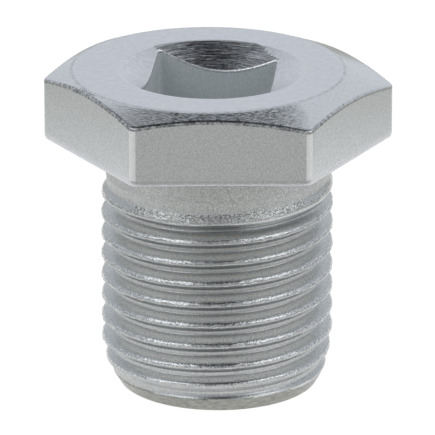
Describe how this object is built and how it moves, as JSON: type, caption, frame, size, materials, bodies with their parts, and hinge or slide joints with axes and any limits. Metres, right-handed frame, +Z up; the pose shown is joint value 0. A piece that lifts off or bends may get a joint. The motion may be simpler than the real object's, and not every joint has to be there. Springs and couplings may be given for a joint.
{
  "type": "hexagon head drain plug with square drive socket",
  "caption": "Zinc-plated steel drain plug: hexagon head with a countersunk square drive socket in its top, on a right-hand threaded shank with a chamfered end.",
  "frame": {"origin": "centre of the flat end face of the shank, on the axis of the thread and the hexagon", "axes": "+Z up the shank's axis from its end to the head, +X towards a corner of the hexagon, -Y out of one of its flats"},
  "size_m": [0.0238, 0.0208, 0.0225],
  "materials": {
    "zinc_plated_steel": "bright zinc plate"
  },
  "bodies": {
    "root": {"drain_plug": "zinc_plated_steel"}
  },
  "joints": []
}
